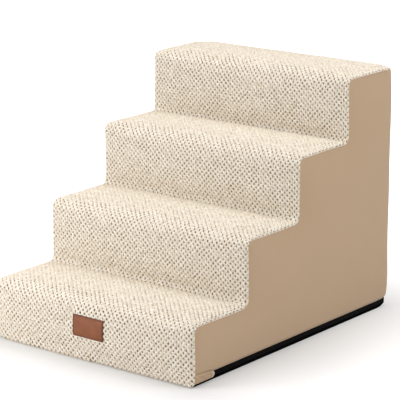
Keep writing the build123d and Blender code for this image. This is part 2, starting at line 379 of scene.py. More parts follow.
def wrap(flat):
    """Lays flat cloth round the foam. Its X is the run from the front right corner, round the back, to the
    front left corner, its Y the height and its Z the distance out from the foam. At its top it follows the
    stuffed edge over the back, and its foot lifts a little at the right rear corner."""
    run, height, out = flat.T
    ahead = np.minimum(run, side_run)
    angle = np.clip((run - side_run) / turn_run, 0, 1)
    angle = (angle + np.clip((run - side_run - turn_run - back_run) / turn_run, 0, 1)) * math.pi / 2
    crossed = np.clip(run - side_run - turn_run, 0, back_run)
    returned = np.maximum(run - side_run - 2 * turn_run - back_run, 0)
    x = core_half - corner - crossed + (corner + out) * np.cos(angle)
    y = core_front + ahead - returned + (corner + out) * np.sin(angle)
    roll = np.maximum(rear_roll * rear_share(run), 0.0001)
    over = np.clip((height - levels[-1]) / roll + 1, 0, rear_over)
    leaning = roll * (1 - np.cos(over))
    x -= np.cos(angle) * leaning
    y -= np.sin(angle) * leaning
    height = height + roll * (np.sin(over) - over) + (out - panel_out) * np.sin(over)
    from_corner = (run - side_run - turn_run / 2) / foot_lift_run
    z = height + foot_lift * np.exp(-(from_corner**2) - np.maximum(height, 0) / foot_lift_height)
    return np.stack([x, y, z], axis=1)


def raise_top(flat):
    """Draws the cloth's top up near the back, where the seam lies higher."""
    upper = np.clip((flat[:, 1] - levels[-1] + 0.06) / 0.056, 0, 1)
    flat[:, 1] += rear_lift * upper * rear_share(flat[:, 0])


def select_edges(piece, rule):
    """Selects the edges whose two ends both pass a rule on their places, and goes back to edit mode."""
    mode("OBJECT")
    mesh = piece.data
    passed = rule(points_of(mesh))
    mesh.polygons.foreach_set("select", np.zeros(len(mesh.polygons), bool))
    ends = np.empty(len(mesh.edges) * 2, int)
    mesh.edges.foreach_get("vertices", ends)
    picked = passed[ends.reshape(-1, 2)].all(axis=1)
    mesh.edges.foreach_set("select", picked)
    flags = np.zeros(len(mesh.vertices), bool)
    flags[ends.reshape(-1, 2)[picked].ravel()] = True
    mesh.vertices.foreach_set("select", flags)
    mode("EDIT")


def extrude(*way):
    """Extrudes what is selected along a way."""
    bpy.ops.mesh.extrude_region_move(TRANSFORM_OT_translate={"value": way})


def face_outwards(piece):
    """Turns all faces of a piece the same way, outwards where it is closed."""
    edit_all(piece)
    bpy.ops.mesh.normals_make_consistent(inside=False)
    mode("OBJECT")


def ease(share, pull=0.62):
    """Moves evenly spaced shares towards both ends, so that the cloth is finer near its seams."""
    return share - pull / math.tau * np.sin(math.tau * share)


def refine(values, stops):
    """Eases the values between each pair of stops."""
    result = values.copy()
    for low, high in zip(stops, stops[1:]):
        inside = (values > low + 1e-6) & (values < high - 1e-6)
        result[inside] = low + (high - low) * ease((values[inside] - low) / (high - low))
    return result


def cloth_grid(cells_along, cells_up):
    """A flat grid, with each point's shares of its length and height."""
    piece = primitive("grid", x_subdivisions=cells_along, y_subdivisions=cells_up, size=1)
    return piece, points_of(piece.data) + 0.5


def set_uv(piece, flat):
    """Keeps the place of each point on the flat cloth, in metres, as the piece's UV map."""
    mesh = piece.data
    layer = mesh.uv_layers.active or mesh.uv_layers.new(name="cloth")
    corners = np.empty(len(mesh.loops), int)
    mesh.loops.foreach_get("vertex_index", corners)
    layer.data.foreach_set("uv", np.asarray(flat[corners], np.float32).ravel())


def thicken(piece, thickness):
    """Gives cloth its thickness on the inner side."""
    modify(piece, "SOLIDIFY", thickness=thickness, offset=-1)


def dress(piece, name, material, node):
    """Names and coats a finished piece of the stair, which stands for its CAD node."""
    piece.name = name
    coat(piece, material)
    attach(piece, "stair")
    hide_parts(node)


def drift(places, size, seed):
    """Slow unevenness of hand-filled cloth: a few long waves in odd directions."""
    rng = np.random.default_rng(seed)
    total = np.zeros(len(places))
    for length in (0.21, 0.15, 0.11, 0.08):
        direction = rng.normal(size=3)
        direction /= np.linalg.norm(direction)
        total += np.sin(places @ direction * math.tau / length + rng.uniform(0, 6.28)) * length
    return size * total / 0.4


# The flat side panel is drawn out step by step, and then divided finely.
under_riser, under_tread = (0.004, 0.004, 0.004, 0.003), (0.004, 0.004, 0.004, 0.002)
run_stops = [riser + under - core_front for riser, under in zip(risers, under_riser)]
run_stops += [side_run, side_run + turn_run]
height_stops = [panel_foot] + [level - under for level, under in zip(levels, under_tread)]
first_width, first_height = run_stops[1] - run_stops[0], height_stops[1] - height_stops[0]
side_cloth = primitive("plane", size=1)
mode("EDIT")
bpy.ops.transform.resize(value=(first_width, first_height, 1))
bpy.ops.transform.translate(value=(run_stops[0] + first_width / 2, panel_foot + first_height / 2, 0))
hair = 1e-5
for start, end in zip(run_stops[1:], run_stops[2:]):
    select_edges(side_cloth, lambda places: places[:, 0] > start - hair)
    extrude(end - start, 0, 0)
for step, (low, high) in enumerate(zip(height_stops[1:], height_stops[2:]), 1):
    select_edges(
        side_cloth, lambda places: (places[:, 1] > low - hair) & (places[:, 0] > run_stops[step] - hair)
    )
    extrude(0, high - low, 0)
bpy.ops.mesh.select_all(action="SELECT")
bpy.ops.mesh.normals_make_consistent(inside=False)
bpy.ops.mesh.subdivide(number_cuts=43)
mode("OBJECT")


def round_noses(flat):
    """Rounds the cloth's corners under the knit's noses."""
    for step in range(4):
        radius = nose_radii[step] - under_riser[step]
        edge, top = run_stops[step], height_stops[step + 1]
        a = np.clip((edge + radius - flat[:, 0]) / radius, 0, 1)
        b = np.clip((flat[:, 1] - top + radius) / radius, 0, 1)
        corner_area = (a > 0) & (b > 0) & (flat[:, 0] > edge - hair) & (flat[:, 1] < top + hair)
        flat[corner_area, 0] += ((a - a * np.sqrt(1 - b * b / 2)) * radius)[corner_area]
        flat[corner_area, 1] -= ((b - b * np.sqrt(1 - a * a / 2)) * radius)[corner_area]


def seam_dip(depth_in, gap):
    """How far cloth lies below its face near a seam: a soft valley, and a tuck beyond the seam."""
    inside = np.maximum(gap, 0)
    beyond = np.maximum(-gap, 0)
    return depth_in * np.exp(-((inside / 0.007) ** 1.3)) + beyond * 0.75


def corner_dip(gap):
    """How far it lies in near the upright seam of side and back."""
    return 0.0012 * np.exp(-((gap / 0.004) ** 1.3))


def foot_dip(height):
    """How far it lies in near its turned foot."""
    gap = height - panel_foot
    return 0.0026 * np.exp(-((gap / 0.0035) ** 1.6)) + 0.0016 * np.exp(-gap / 0.02)


def relief_of_side(flat):
    """Distance out of the side cloth: the face, the seams with knit and back, and the turned foot."""
    gap = seam_gap_of(flat[:, :2] + [core_front, 0])
    out = panel_out - seam_dip(0.0016 - 0.0009 * flat[:, 1] / levels[-1], gap)
    out -= corner_dip(side_run + turn_run - flat[:, 0])
    out -= foot_dip(flat[:, 1])
    pucker = np.sin(flat[:, 0] * math.tau / 0.017) * np.sin(flat[:, 1] * math.tau / 0.019)
    out += 0.00025 * pucker * np.exp(-np.abs(gap) / 0.010)
    return np.stack([flat[:, 0], flat[:, 1], out], axis=1)


def finish_panel(piece, flat, name, node, seed):
    """Wraps, swells and thickens a flat panel, and makes it stand for its CAD node."""
    places = wrap(flat)
    normals = wrap(flat + [0, 0, 0.001]) - places
    normals /= np.linalg.norm(normals, axis=1, keepdims=True)
    low_fade = np.clip((flat[:, 1] - panel_foot) / 0.06, 0, 1)
    places += normals * (drift(places, 0.0006, seed) * low_fade)[:, None]
    places += swell(places)
    place_points(piece.data, places)
    set_uv(piece, flat[:, :2])
    thicken(piece, panel_thickness)
    piece.data.shade_smooth()
    dress(piece, name, panel_finish, node)


def brushed_polyester(name, light, dark, hollow):
    """Brushed polyester: a fine plain weave with a raised, soft face. The real threads are about 0.3 mm
    apart and are drawn at 0.9 mm, so that they show. It is an even, matte tan with a faint bloom."""
    cloth = finish(name, 0.86, Sheen_Weight=0.2, Sheen_Roughness=0.5, Specular_IOR_Level=0.25)
    flat_place = add(cloth, "UVMap")
    threads = {"Vector": flat_place, "Scale": 350.0, "Distortion": 1.2, "Detail": 1.0}
    warp, weft = [add(cloth, "TexWave", threads, bands_direction=way).outputs[1] for way in ("X", "Y")]
    weave = add(cloth, "Math", (warp, weft), operation="ADD")
    nap = add(cloth, "TexNoise", {"Scale": 1500.0, "Detail": 4.0})
    surface = add(cloth, "Math", (weave, nap), operation="ADD")
    clouds = add(cloth, "TexNoise", {"Scale": 9.0, "Detail": 4.0, "Roughness": 0.6})
    tint = add(cloth, "Mix", {0: clouds, 6: light, 7: dark})
    threaded = add(cloth, "Mix", {0: nap, 6: tint, 7: hollow})
    paint(cloth, threaded, (surface, 0.35, 0.0003))
    return cloth


panel_finish = brushed_polyester("brushed tan polyester", "#BEA387", "#B79D7F", "#AF9578")
garage_finish = brushed_polyester("brushed pale tan polyester", "#C8AE92", "#AF9577", "#A98F72")
left_cloth = side_cloth.copy()
left_cloth.data = side_cloth.data.copy()
left_cloth.data.flip_normals()
scene.collection.objects.link(left_cloth)
flat_side = points_of(side_cloth.data)
flat_side[:, 0] = refine(flat_side[:, 0], run_stops)
flat_side[:, 1] = refine(flat_side[:, 1], height_stops)
round_noses(flat_side)
flat_side = relief_of_side(flat_side)
raise_top(flat_side)
finish_panel(side_cloth, flat_side, "cover_side_right", "side_panel_right", 11)
flat_left = flat_side.copy()
flat_left[:, 0] = whole_run - flat_left[:, 0]
finish_panel(left_cloth, flat_left, "cover_side_left", "side_panel_left", 12)

back_cloth, flat_back = cloth_grid(120, 120)
back_start = side_run + turn_run
flat_back[:, 0] = back_start + back_run * ease(flat_back[:, 0])
flat_back[:, 1] = panel_foot + (height_stops[-1] - panel_foot) * ease(flat_back[:, 1])
back_seam_height = levels[-1] - 0.0085
side_gap = np.minimum(flat_back[:, 0] - back_start, back_start + back_run - flat_back[:, 0])
flat_back[:, 2] = panel_out - seam_dip(0.0008, back_seam_height - flat_back[:, 1]) - corner_dip(side_gap)
flat_back[:, 2] -= foot_dip(flat_back[:, 1])
raise_top(flat_back)
finish_panel(back_cloth, flat_back, "cover_back", "back_panel", 13)

# ----------------------------------------
# Zip along the foot. Two woven polyester tapes carry two rows of black nylon coil, which are closed all
# round. The upper tape is sewn inside the panels' foot and the lower one inside the base's lip.

tape_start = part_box("zip_tape_lower")[0].y - core_front
tape_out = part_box("zip_tape_lower")[1].x - core_half
tooth_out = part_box("zip_teeth_lower")[1].x - core_half
tape_thickness, tooth_width, tooth_pitch, tooth_sunk = 0.0007, 0.0013, 0.002, 0.0003
row_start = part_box("zip_teeth_lower")[0].y - core_front
row_end = whole_run - (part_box("zip_top_stops")[1].y - core_front)

# Woven polyester tape: flat, with fine lengthwise ribs about 0.8 mm apart. Black, with little gloss.
tape_finish = finish("woven black polyester tape", 0.9, Specular_IOR_Level=0.05)
place = add(tape_finish, "UVMap")
ribs, picks = [
    add(
        tape_finish, "TexWave", {"Vector": place, "Scale": scale, "Distortion": 0.4}, bands_direction=way
    ).outputs[1]
    for scale, way in ((390.0, "Y"), (300.0, "X"))
]
woven = add(tape_finish, "Math", (ribs, picks), operation="MULTIPLY")
tint = add(tape_finish, "Mix", {0: woven, 6: "#020202", 7: "#090909"})
paint(tape_finish, tint, (woven, 0.5, 0.0003))

# Nylon coil: moulded monofilament, satin, and black all through.
coil_finish = finish("black nylon coil", 0.5, IOR=1.53, Specular_IOR_Level=0.12)
wear = add(coil_finish, "TexNoise", {"Scale": 400.0})
paint(coil_finish, add(coil_finish, "Mix", {0: wear, 6: "#020202", 7: "#080808"}))


def zip_band(cells_up, foot, height, out):
    """A strip of cloth along the whole zip, and its flat places."""
    piece, flat = cloth_grid(600, cells_up)
    flat[:, 0] = tape_start + (whole_run - 2 * tape_start) * flat[:, 0]
    flat[:, 1] = foot + height * flat[:, 1]
    flat[:, 2] = out
    place_points(piece.data, wrap(flat))
    return piece, flat


for side in ("lower", "upper"):
    low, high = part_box(f"zip_tape_{side}")
    tape, flat = zip_band(6, low.z, high.z - low.z, tape_out)
    set_uv(tape, flat[:, :2])
    thicken(tape, tape_thickness)
    dress(tape, f"woven_tape_{side}", tape_finish, f"zip_tape_{side}")

    # One turn of the coil, repeated along the row. The two rows stand half a pitch apart.
    low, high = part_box(f"zip_teeth_{side}")
    tooth = (tooth_width, high.z - low.z, tooth_out - tape_out + tooth_sunk)
    coil = primitive("cube", size=1, scale=tooth)
    edit_all(coil)
    bpy.ops.mesh.bevel(offset=0.0004, segments=1)
    mode("OBJECT")
    turns = int((row_end - row_start - tooth_pitch) / tooth_pitch)
    modify(
        coil, "ARRAY", use_relative_offset=False, use_constant_offset=True,
        constant_offset_displace=(tooth_pitch, 0, 0), count=turns,
    )
    bpy.ops.object.transform_apply(location=True, rotation=True, scale=True)
    flat = points_of(coil.data)
    flat += [row_start + tooth_pitch, (low.z + high.z) / 2, (tooth_out + tape_out - tooth_sunk) / 2]
    if side == "upper":
        flat[:, 0] += tooth_pitch / 2
    place_points(coil.data, wrap(flat))
    dress(coil, f"coil_{side}", coil_finish, f"zip_teeth_{side}")

# Slider, pull and stops: die-cast zinc with baked black paint, satin and faintly mottled.
metal_finish = finish("black painted zinc", 0.35, Metallic=0.6)
spots = add(metal_finish, "TexNoise", {"Scale": 600.0})
tint = add(metal_finish, "Mix", {0: spots, 6: "#18181A", 7: "#29292B"})
paint(metal_finish, tint, (spots, 0.15, 0.0002))
for name in ("zip_slider", "zip_pull", "zip_top_stops", "zip_bottom_stop"):
    coat(nodes[name], metal_finish)

# ----------------------------------------
# Non-slip base. A sheet of black fabric with rubber dots lies under the foam. Its edge is turned up at the
# sides and back in a soft lip, which is sewn to the lower tape.

base_low, base_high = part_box("base_panel")
lip_out = base_high.x - core_half
lip_thickness = lip_out - tape_out
base_front = risers[0] + wrap_width
sheet_top = boxes[0][0].z
base = primitive("plane", size=1, location=(0, 0, base_low.z))
mode("EDIT")
bpy.ops.transform.resize(value=(base_high.x - base_low.x, base_high.y - base_front, 1))
bpy.ops.transform.translate(value=(0, (base_front + base_high.y) / 2, 0))
mode("OBJECT")
bpy.ops.object.transform_apply(location=True, rotation=True, scale=True)
select_edges(base, lambda places: places[:, 1] > 0)
bpy.ops.mesh.bevel(offset=corner + lip_out, segments=10, affect="VERTICES")
bpy.ops.mesh.select_all(action="SELECT")
extrude(0, 0, sheet_top - base_low.z)
bpy.ops.mesh.inset(thickness=lip_thickness)
mode("OBJECT")
for face in base.data.polygons:
    ring = face.area < 0.1 and face.center.y > base_front + lip_thickness
    face.select = ring and face.center.z > sheet_top - hair
mode("EDIT")
extrude(0, 0, base_high.z - sheet_top)
face_outwards(base)
modify(base, "BEVEL", width=0.0012, segments=3, limit_method="ANGLE")
bpy.ops.object.shade_smooth_by_angle(angle=math.radians(40))


def slice_near(piece, insets, *edges):
    """Cuts a piece across at some insets from the base's edges, so that it can bend there."""
    edit_all(piece)
    for inset in insets:
        for edge in edges:
            place, way_in = {
                "rear": ((0, base_high.y - inset, 0), (0, 1, 0)),
                "right": ((base_high.x - inset, 0, 0), (1, 0, 0)),
                "left": ((base_low.x + inset, 0, 0), (1, 0, 0)),
            }[edge]
            bpy.ops.mesh.select_all(action="SELECT")
            bpy.ops.mesh.bisect(plane_co=place, plane_no=way_in)
    mode("OBJECT")


def corner_lift(places, low_share):
    """How far the right rear corner stands off the floor, most at its lowest edge."""
    reach = places[:, :2] - [core_half - corner, core_rear - corner] - (corner + lip_out) / math.sqrt(2)
    gap = np.linalg.norm(reach, axis=1)
    lift = foot_lift * np.exp(-((gap / foot_lift_run) ** 2))
    return lift + 0.004 * np.exp(-((gap / 0.011) ** 2)) * low_share


slice_near(base, (0.055, 0.040, 0.030, 0.022), "rear", "right", "left")
base_points = points_of(base.data)
base_points[:, 2] += corner_lift(base_points, 1 - base_points[:, 2] / base_high.z)
place_points(base.data, base_points)

# The lip's seam allowance stands up between the foam and the zip, so that no foam shows between the teeth.
allowance_foot, allowance_height, allowance_thickness = sheet_top - 0.0005, 0.0140, 0.0002
behind_slider = -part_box("zip_slider")[1].x - core_half - 0.00015
allowance, _ = zip_band(2, allowance_foot, allowance_height, behind_slider)
thicken(allowance, allowance_thickness)
join([allowance, base])

# Black polyester felt with round rubber dots of 3 mm, 8 mm apart in even rows, on its underside only. The
# dots are a little glossier than the felt.
base_finish = finish("black non-slip felt", 0.95, Specular_IOR_Level=0.02)
dots = add(base_finish, "TexVoronoi", {"Scale": 125.0, "Randomness": 0.0}, voronoi_dimensions="2D")
place = add(base_finish, "TexCoord").outputs["Object"]
height = add(base_finish, "SeparateXYZ", (place,)).outputs[2]
on_dot = add(base_finish, "MapRange", (dots, 0.17, 0.21, 1, 0))
below = add(base_finish, "MapRange", (height, 0.0010, 0.0014, 1, 0))
on_dot = add(base_finish, "Math", (on_dot, below), operation="MULTIPLY")
felt = add(base_finish, "TexNoise", {"Scale": 900.0, "Detail": 4.0})
felt_tint = add(base_finish, "Mix", {0: felt, 6: "#010101", 7: "#070707"})
tint = add(base_finish, "Mix", {0: on_dot, 6: felt_tint, 7: "#161617"})
gloss = add(base_finish, "MapRange", (on_dot, 0, 1, 0.92, 0.5))
paint(base_finish, tint, (felt, 0.5, 0.0004), (on_dot, 0.8, 0.0006), gloss=gloss)
dress(base, "nonslip_base", base_finish, "base_panel")

# The lowest foam slab gives way over the lifted corner.
lowest_mesh = slabs[0].data.copy()
lowest_mesh.transform(slabs[0].matrix_world)
lowest = bpy.data.objects.new("foam_lowest_slab", lowest_mesh)
scene.collection.objects.link(lowest)
edit_all(lowest)
bpy.ops.mesh.remove_doubles(threshold=1e-6)
slice_near(lowest, (0.055, 0.040, 0.030, 0.022, 0.016), "rear", "right")
slab_points = points_of(lowest_mesh)
low_part = np.clip(1 - (slab_points[:, 2] - sheet_top) / 0.03, 0, 1)
slab_points[:, 2] += corner_lift(slab_points, 1) * low_part
place_points(lowest_mesh, slab_points)
dress(lowest, "foam_lowest_slab", foam_finish, "foam_slab_1")

# ----------------------------------------
# Knitted step cover. One strip of thick jacquard knit runs from under the front riser, over every step, to
# the top of the back. Its edges roll over the sides and are sewn to the plain panels.

roll_right, roll_left = 0.006, 0.010
tuck, rear_tuck = 0.003, 0.002
tuck_turn, rear_turn = math.radians(85), math.radians(32)
front_radius_right, front_radius_left, rear_radius = 0.011, 0.023, 0.036
crown = 0.003
cover_half = core_half + cover_depth
stitch_width, stitch_length, cells_per_stitch = 0.011, 0.0114, 6
cell = stitch_width / cells_per_stitch
pit_depth, nose_pit_depth, nub_height, slot_lean = 0.0030, 0.0020, 0.0009, 0.28
knit_inside = 0.0048
rear_corner_dip, rear_corner_reach = 0.0025, 0.022
floor_gap = 0.0002

strip_foot = 0.0007 + front_radius_right
path_length, path_points, path_normals, path_crown = rounded_path(
    *step_corners(strip_foot, rear_face - rear_radius), 0.0004
)
strip_length = path_length[-1]

turned = tuck * tuck_turn
left_columns = round((cover_half - roll_left + roll_left * math.pi / 2 + turned) / cell)
right_columns = round((cover_half - roll_right + roll_right * math.pi / 2 + turned) / cell)
across = cell * np.arange(-left_columns, right_columns + 1)
front_reach = front_radius_right + roll_right * (math.pi / 2 - 1) + turned
rear_reach = rear_radius + rear_roll * (rear_turn - 1) + rear_tuck * tuck_turn
row_count = round((strip_length + front_reach + rear_reach) / stitch_length * cells_per_stitch)
along = np.linspace(-front_reach, strip_length + rear_reach, row_count + 1)
stitch_length = cells_per_stitch * (along[1] - along[0])


def roll_over(past_side, past_end, corner_radius, side, end):
    """Where cloth lies past the corner lines of the strip: sideways, endways and downwards. It rolls over
    the edge and is then drawn in to the seam, and two rolled edges meet in a rounded corner. Side and end
    each give a length of cloth, a radius, a turn and the radius of the tuck."""
    a, b = np.clip(past_side / side[0], 0, 1), np.clip(past_end / end[0], 0, 1)
    a, b = a * np.sqrt(1 - b * b / 2), b * np.sqrt(1 - a * a / 2)
    heading = np.arctan2(b, a)
    sideward, endward = np.cos(heading) ** 2, np.sin(heading) ** 2
    roll, last, tuck_here = [s * sideward + e * endward for s, e in zip(side[1:], end[1:])]
    travel = np.hypot(a, b) * (corner_radius + roll * (last - 1) + tuck_here * tuck_turn)
    level = np.minimum(travel, corner_radius - roll)
    turn = np.clip((travel - level) / roll, 0, last)
    drawn = np.maximum(travel - level - roll * last, 0) / tuck_here
    flat = level + roll * np.sin(turn) + tuck_here * (np.sin(turn + drawn) - np.sin(turn))
    down = roll * (1 - np.cos(turn)) + tuck_here * (np.cos(turn) - np.cos(turn + drawn))
    return flat * np.cos(heading), flat * np.sin(heading), down, drawn / tuck_turn


rows, columns = np.meshgrid(along, across, indexing="ij")
in_front = rows < strip_length / 2
on_left = columns < 0
corner_radius = np.where(in_front, np.where(on_left, front_radius_left, front_radius_right), rear_radius)
lead = np.where(in_front, corner_radius - front_radius_right, 0)
past_end = np.where(in_front, np.maximum(lead - rows, 0), np.maximum(rows - strip_length, 0))
past_side = np.maximum(np.abs(columns) - (cover_half - corner_radius), 0)
widest = np.where(on_left, roll_left, roll_right)
reach_down = edge_wrap(rows + strip_foot) + widest - roll_right
side_tuck = np.minimum(tuck, reach_down * 0.55)
side_length = corner_radius + widest * (math.pi / 2 - 1) + turned
end_roll = np.where(in_front, roll_right, rear_roll)
end_turn = np.where(in_front, math.pi / 2, rear_turn)
end_tuck = np.where(in_front, tuck, rear_tuck)
end_length = corner_radius + end_roll * (end_turn - 1) + end_tuck * tuck_turn
sideways, endways, down, drawn = roll_over(
    past_side, past_end, corner_radius,
    (side_length, reach_down - side_tuck, math.pi / 2, side_tuck),
    (end_length, end_roll, end_turn, end_tuck),
)
on_path = np.clip(rows, lead, strip_length)
base_y, base_z, normal_y, normal_z, crown_share = [
    np.interp(on_path, path_length, values) for values in (*path_points.T, *path_normals.T, path_crown)
]
x = np.sign(columns) * np.where(past_side > 0, cover_half - corner_radius + sideways, np.abs(columns))
y = base_y - normal_y * down + np.where(in_front, 0, endways)
z = base_z - normal_z * down - np.where(in_front, endways, 0)
from_rear_corner = (cover_half - np.abs(x)) ** 2 + (rear_face - y) ** 2
z -= rear_corner_dip * np.exp(-from_rear_corner / rear_corner_reach**2)
knit_places = np.stack([x, y, z], axis=2)


def grid_normals(places):
    """Outward direction at each point of a grid of places."""
    normals = np.cross(np.gradient(places, axis=1), np.gradient(places, axis=0))
    return normals / np.maximum(np.linalg.norm(normals, axis=2, keepdims=True), 1e-12)


def unevenness(u, v, seed):
    """Small random changes over the cloth, of about -1 to 1."""
    rng = np.random.default_rng(seed)
    total = 0
    for length in (0.031, 0.023, 0.017, 0.0135):
        way, phase = rng.uniform(0, math.tau, 2)
        total = total + np.sin((u * math.cos(way) + v * math.sin(way)) * math.tau / length + phase)
    return total / 2


def pit_pattern(u, v):
    """Depth share of the knit's pits, which lie on a slightly uneven lattice of centred squares."""
    a, b = math.tau * u / stitch_width, math.tau * v / stitch_length
    slot = np.cos(a + slot_lean * np.sin(2 * b)) ** 2
    pit = ((1 + np.cos(a) * np.cos(b)) / 2) ** 1.6 * slot**0.4
    return pit * np.clip(0.92 + 0.22 * unevenness(u, v, 33), 0, 1.15)


# The strip is crowned between its corners, drifts and swells, and then gets its pits and plump stitches.
normals = grid_normals(knit_places)
edge_fade = 1 - np.clip(np.abs(columns) / cover_half, 0, 1) ** 8
knit_places += normals * (crown * crown_share * edge_fade)[..., None]
slow = drift(knit_places.reshape(-1, 3), 0.0008, 21).reshape(rows.shape)
foot_fade = np.clip((knit_places[..., 2] - 0.004) / 0.03, 0, 1)
knit_places += normals * (slow * foot_fade)[..., None]
knit_places += swell(knit_places.reshape(-1, 3)).reshape(knit_places.shape)
riser_skin = knit_places[(rows > 0) & (base_z < levels[0] - nose_radii[0]) & (base_y < risers[0] + 0.002)]
normals = grid_normals(knit_places)
hidden = np.clip(drawn * 3 - 2, 0, 1)
pits = pit_pattern(columns, rows - along[0]) * (1 - hidden)
over_nose = np.abs(normal_y * normal_z) * 2
depth_here = pit_depth + (nose_pit_depth - pit_depth) * over_nose
knit_places += normals * (nub_height * (1 - pits) - depth_here * pits)[..., None]
knit_places[..., 2] = np.maximum(knit_places[..., 2], floor_gap)

# Four columns of points close the strip on its inner side, next to the foam.
inner = np.array([0.6, 0.2, -0.2, -0.6]) * cover_half
inner_x = np.tile(inner, (row_count + 1, 1))
inner_end = np.minimum(past_end[:, :1], front_radius_right - roll_right)
inner_y = (base_y - normal_y * knit_inside)[:, :1] + np.where(in_front[:, :1], 0, inner_end)
inner_z = (base_z - normal_z * knit_inside)[:, :1] - np.where(in_front[:, :1], inner_end, 0)
inner_places = np.stack([inner_x, np.tile(inner_y, len(inner)), np.tile(inner_z, len(inner))], axis=2)
closed = np.concatenate([knit_places, inner_places, knit_places[:, :1]], axis=1)
knit_u = np.concatenate([columns, inner_x, columns[:, :1]], axis=1)
knit_v = np.tile(rows[:, :1] - along[0], closed.shape[1])


def close_tube(piece):
    """Merges the long edges of a rolled grid and fills its two open ends."""
    edit_all(piece)
    bpy.ops.mesh.remove_doubles(threshold=1e-6)
    bpy.ops.mesh.select_all(action="DESELECT")
    bpy.ops.mesh.select_mode(type="EDGE")
    bpy.ops.mesh.select_non_manifold(extend=False)
    bpy.ops.mesh.fill_holes(sides=0)
    mode("OBJECT")
    piece.data.shade_smooth()


knit, _ = cloth_grid(closed.shape[1] - 1, closed.shape[0] - 1)
place_points(knit.data, closed.reshape(-1, 3))
set_uv(knit, np.stack([knit_u, knit_v], axis=2).reshape(-1, 2))
close_tube(knit)

# Chenille jacquard: plump cream yarn, with painted shade in the pits, where small upright slots are coloured
# dark brown. It is very matte, with a soft bloom at grazing angles, and its pile is drawn at about 2 mm so
# that it shows.
knit_finish = finish(
    "chenille jacquard knit", 0.95, Sheen_Weight=0.3, Sheen_Roughness=0.6, Sheen_Tint=linear("#EBD5B2"),
    Specular_IOR_Level=0.08,
)
wander = add(knit_finish, "TexNoise", {"Scale": 60.0, "Detail": 2.0}).outputs[1]
shifted = add(knit_finish, "VectorMath", (wander, (0.5, 0.5, 0.5)), operation="SUBTRACT")
shifted = add(knit_finish, "VectorMath", {0: shifted, "Scale": 0.004}, operation="SCALE")
flat_place = add(knit_finish, "VectorMath", {0: add(knit_finish, "UVMap"), 1: shifted})
per_metre = (math.tau / stitch_width, math.tau / stitch_length, 0)
turns = add(knit_finish, "VectorMath", (flat_place, per_metre), operation="MULTIPLY")
waves = add(knit_finish, "VectorMath", (turns,), operation="COSINE")
waves = add(knit_finish, "SeparateXYZ", (waves,)).outputs
lattice = add(knit_finish, "Math", (waves[0], waves[1]), operation="MULTIPLY")
lattice = add(knit_finish, "MapRange", (lattice, -1))
turns = add(knit_finish, "SeparateXYZ", (turns,)).outputs
lean = add(knit_finish, "Math", (turns[1], 2.0), operation="MULTIPLY")
lean = add(knit_finish, "Math", (lean,), operation="SINE")
lean = add(knit_finish, "Math", (lean, slot_lean, turns[0]), operation="MULTIPLY_ADD")
slots = add(knit_finish, "Math", (lean,), operation="COSINE")
slots = add(knit_finish, "Math", (slots, 2.0), operation="POWER")
depth = add(knit_finish, "Math", (lattice, 2.8), operation="POWER")
depth = add(knit_finish, "Math", (depth, slots), operation="MULTIPLY")
pile = add(knit_finish, "TexNoise", {"Scale": 420.0, "Detail": 3.0, "Roughness": 0.7})
speckle = add(knit_finish, "MapRange", (pile, 0.36, 0.64), interpolation_type="SMOOTHSTEP")
patches = add(knit_finish, "TexNoise", {"Scale": 30.0, "Detail": 2.0})
yarn = add(knit_finish, "Mix", {0: patches, 6: "#FBF7F0", 7: "#F4EFE5"})
fibres = add(knit_finish, "Mix", {0: speckle, 6: "#CBB9A0", 7: yarn})
unlike = add(knit_finish, "Math", (speckle, 0.35), operation="MULTIPLY")
unlike = add(knit_finish, "Math", (1.15, unlike), operation="SUBTRACT")
depth = add(knit_finish, "Math", (depth, unlike), operation="MULTIPLY")
# Painted shade: the deepest part of each pit is coloured dark brown.
painted_pit_shade = add(knit_finish, "MapRange", (depth, 0.15, 0.64), interpolation_type="SMOOTHSTEP")
tint = add(knit_finish, "Mix", {0: painted_pit_shade, 6: fibres, 7: "#553B1E"})
paint(knit_finish, tint, (pile, 0.7, 0.0009))
dress(knit, "knit_step_cover", knit_finish, "step_cover")

# ----------------------------------------
# Zip garages. A patch of the panels' fabric covers each end of the zip beside the knit's edge. Its mouth is
# bound with a pale tape, and its foot is turned in under the zip.

patch_low, patch_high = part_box("zip_garage_right")
hem_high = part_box("garage_hem_right")[1]
patch_start = risers[0] + wrap_width - 0.0035
patch_foot = patch_low.z + 0.0036
patch_out = patch_high.x - core_half
patch_thickness, patch_turned = 0.0008, 0.16
mouth_end, mouth_top, mouth_depth = hem_high.y, hem_high.z, 0.005
binding_width, binding_height = 0.0030, 0.0022


def mouth_y(share):
    """Depth of the mouth's rounded edge at a share of its height."""
    return mouth_end - mouth_depth * (2 * share - 1) ** 2


